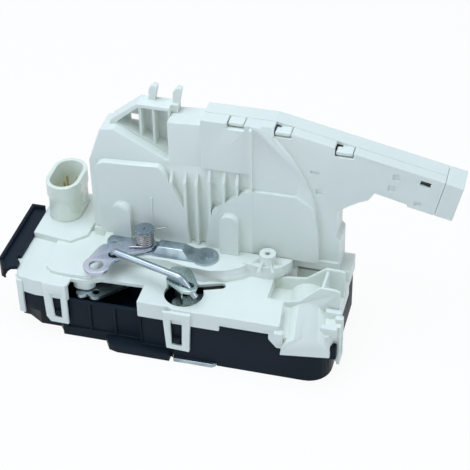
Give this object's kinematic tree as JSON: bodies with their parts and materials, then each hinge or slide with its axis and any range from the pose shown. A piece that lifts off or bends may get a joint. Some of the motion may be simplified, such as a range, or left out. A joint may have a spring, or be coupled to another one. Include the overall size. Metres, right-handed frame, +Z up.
{
  "type": "car_door_latch",
  "caption": "Car door latch and lock unit: claw latch in a black housing, white cover with a hollow upright arm, exposed levers joined by a rod, and a plug socket",
  "frame": {"origin": "on the underside of the metal face plate, midway between its three mounting screws", "axes": "+X along the upright arm to its open end, +Y from the levers to the back of the base, +Z up from the face plate"},
  "size_m": [0.2523, 0.092, 0.1374],
  "materials": {
    "white_plastic": "smooth moulded plastic with a slight sheen",
    "black_plastic": "moulded plastic, slightly shiny",
    "zinc_steel": "zinc plated sheet steel",
    "bright_steel": "bright zinc plated steel",
    "spring_wire": "spring steel wire",
    "natural_plastic": "uncoloured moulded plastic, slightly yellow",
    "contact_metal": "bright brass",
    "gear_plastic": "smooth low friction plastic",
    "soft_black": "soft moulded black rubber"
  },
  "bodies": {
    "base": {"face_plate": "zinc_steel", "housing": "black_plastic", "deck_cover": "white_plastic", "wing_front": "white_plastic", "wing_back": "white_plastic", "arm_sleeve": "white_plastic", "cable_guide": "white_plastic", "connector_shroud": "natural_plastic", "connector_pins": "contact_metal", "circuit_carrier": "natural_plastic", "edge_channel": "black_plastic", "claw_pin": "bright_steel", "pawl_pin": "bright_steel", "claw_spring": "spring_wire", "pawl_spring": "spring_wire", "striker_bumper": "soft_black", "bridge_bracket": "zinc_steel", "bracket_rivets": "bright_steel", "lever_pin": "bright_steel", "lever_spring": "spring_wire", "release_pin": "bright_steel", "release_pin_ring": "spring_wire", "coupling_pin": "bright_steel", "motor_can": "zinc_steel", "motor_cap": "black_plastic", "wheel_axle": "bright_steel", "claw_switch": "black_plastic", "lock_switch": "black_plastic", "inner_lever_pin": "bright_steel", "inner_lever_spring": "spring_wire", "base_screws": "bright_steel", "plate_screws": "bright_steel", "wing_screws": "bright_steel"},
    "claw": {"claw_core": "zinc_steel", "claw_jacket": "soft_black"},
    "pawl": {"pawl": "zinc_steel", "pawl_jacket": "soft_black"},
    "outer_lever": {"outer_lever": "zinc_steel", "rod_bush": "black_plastic"},
    "link_rod": {"link_rod": "bright_steel"},
    "release_lever": {"release_lever": "zinc_steel"},
    "coupling_lever": {"coupling_lever": "zinc_steel"},
    "worm_shaft": {"motor_shaft": "bright_steel", "worm": "contact_metal"},
    "worm_wheel": {"worm_wheel": "gear_plastic"},
    "lock_slider": {"lock_slider": "gear_plastic"},
    "inner_lever": {"inner_lever": "zinc_steel"}
  },
  "joints": [
    {"name": "claw_turn", "type": "hinge", "parent": "base", "child": "claw", "pos_m": [0.022, 0.008, 0.006], "axis": [0, 0, 1], "range_deg": [0, 60], "stiffness_Nm_per_rad": 0.02, "springref_deg": -22.92, "deforming": ["claw_spring"]},
    {"name": "pawl_turn", "type": "hinge", "parent": "base", "child": "pawl", "pos_m": [-0.022, -0.01, 0.006], "axis": [0, 0, 1], "range_deg": [-8, 9], "deforming": ["pawl_spring"]},
    {"name": "outer_lever_turn", "type": "hinge", "parent": "base", "child": "outer_lever", "pos_m": [0.0097, -0.0024, 0.0478], "axis": [0, 0, 1], "range_deg": [-12, 0], "stiffness_Nm_per_rad": 0.05, "springref_deg": 17.19, "deforming": ["lever_spring"]},
    {"name": "rod_turn", "type": "hinge", "parent": "outer_lever", "child": "link_rod", "pos_m": [-0.0045, -0.0165, 0.0478], "axis": [0, 0, 1], "range_deg": [0, 12]},
    {"name": "release_turn", "type": "hinge", "parent": "base", "child": "release_lever", "pos_m": [0.0563, -0.0165, 0.0295], "axis": [0, 0, 1], "range_deg": [-12, 0]},
    {"name": "coupling_turn", "type": "hinge", "parent": "base", "child": "coupling_lever", "pos_m": [0.006, -0.009, 0.0292], "axis": [0, 0, 1], "range_deg": [-8, 4]},
    {"name": "wheel_turn", "type": "hinge", "parent": "base", "child": "worm_wheel", "pos_m": [0.08686, -0.00181, 0.021], "axis": [0, 0, 1], "range_deg": [0, 90]},
    {"name": "worm_turn", "type": "hinge", "parent": "base", "child": "worm_shaft", "pos_m": [0.109, -0.03, 0.021], "axis": [-0.1392, 0.9903, 0], "range_deg": [-2700, 0]},
    {"name": "slider_move", "type": "slide", "parent": "base", "child": "lock_slider", "axis": [1, 0, 0], "range_m": [-0.0095, 0]},
    {"name": "inner_lever_turn", "type": "hinge", "parent": "base", "child": "inner_lever", "pos_m": [-0.006, 0.0165, 0.076], "axis": [0, 1, 0], "range_deg": [-22, 0], "stiffness_Nm_per_rad": 0.02, "springref_deg": 17.19, "deforming": ["inner_lever_spring"]}
  ],
  "couplings": [
    {"joint": "rod_turn", "follows": "outer_lever_turn", "ratio": -1},
    {"joint": "release_turn", "follows": "outer_lever_turn", "ratio": 1},
    {"joint": "worm_turn", "follows": "wheel_turn", "ratio": -30},
    {"joint": "slider_move", "follows": "wheel_turn", "m_per_rad": -0.006}
  ]
}
